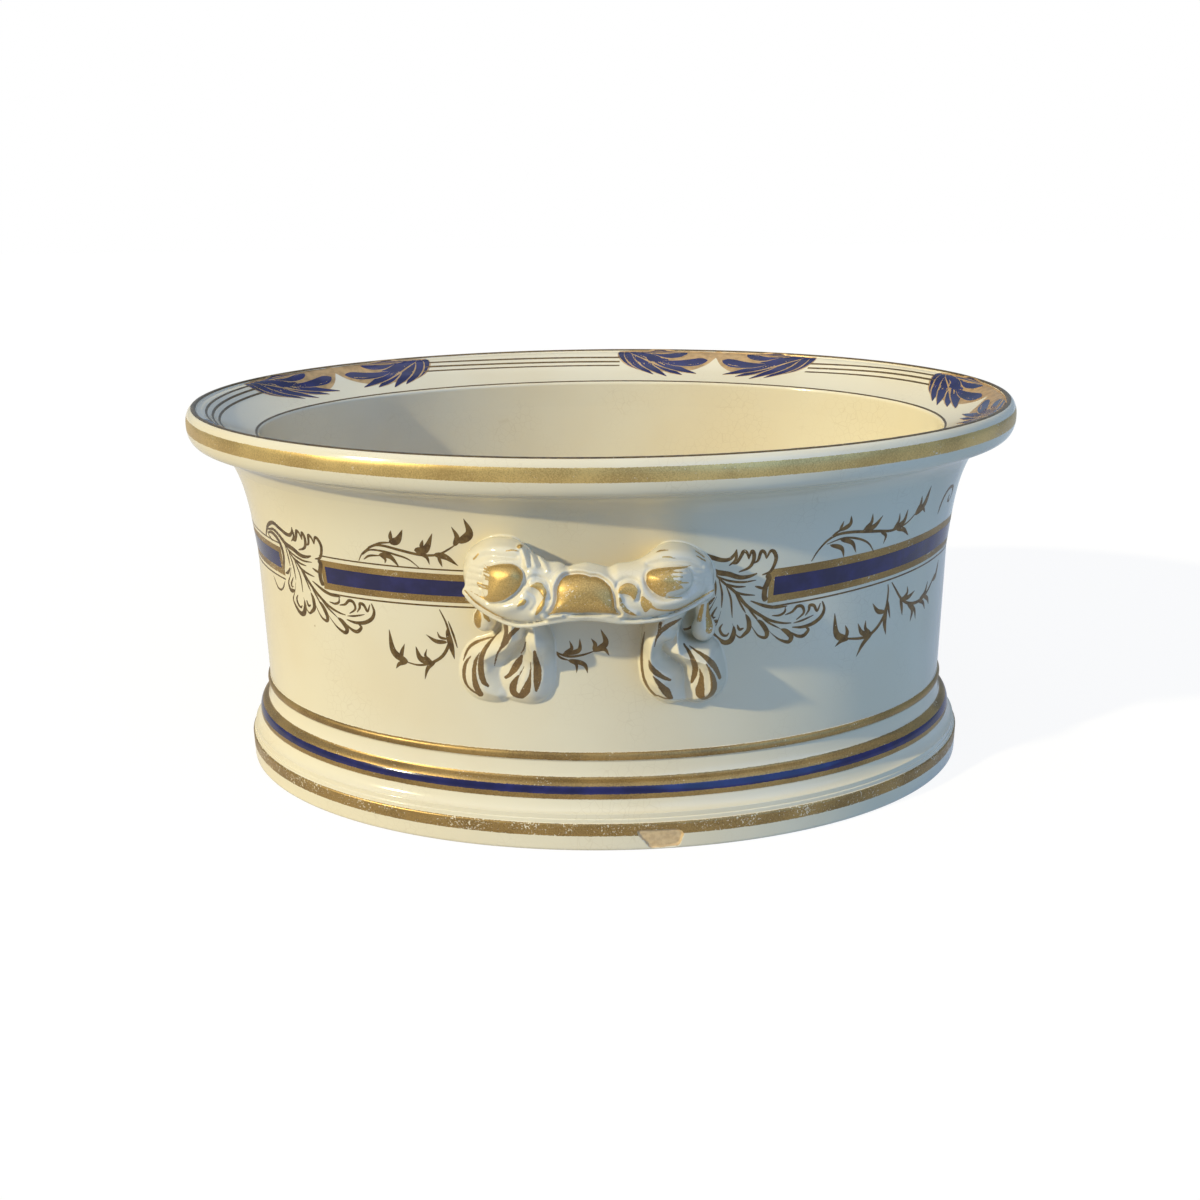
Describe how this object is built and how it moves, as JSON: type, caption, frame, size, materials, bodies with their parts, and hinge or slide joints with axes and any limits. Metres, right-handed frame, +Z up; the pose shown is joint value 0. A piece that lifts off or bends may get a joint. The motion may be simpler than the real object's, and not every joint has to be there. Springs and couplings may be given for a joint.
{
  "type": "foot bath",
  "caption": "Oval glazed foot bath with a rolled rim, a moulded foot and a leaf-moulded bracket handle on each long side, banded in blue and gilt.",
  "frame": {"origin": "centre of the bottom of the standing ring", "axes": "+X along the long axis of the oval, +Y from the front handle to the back handle, +Z up"},
  "size_m": [0.48, 0.3576, 0.2177],
  "materials": {
    "cream_glaze": "glossy clear glaze over a cream body, finely crazed",
    "gilding": "burnished gilt lines and bands, rubbed at their edges",
    "cobalt_glaze": "glossy deep blue underglaze bands and leaves"
  },
  "bodies": {
    "root": {"body_wall": "cream_glaze", "floor_slab": "cream_glaze", "rolled_rim": "cream_glaze", "foot_moulding": "cream_glaze", "front_handle_grip": "cream_glaze", "front_leaf_left": "cream_glaze", "front_leaf_right": "cream_glaze", "back_handle_grip": "cream_glaze", "back_leaf_left": "cream_glaze", "back_leaf_right": "cream_glaze"}
  },
  "joints": []
}
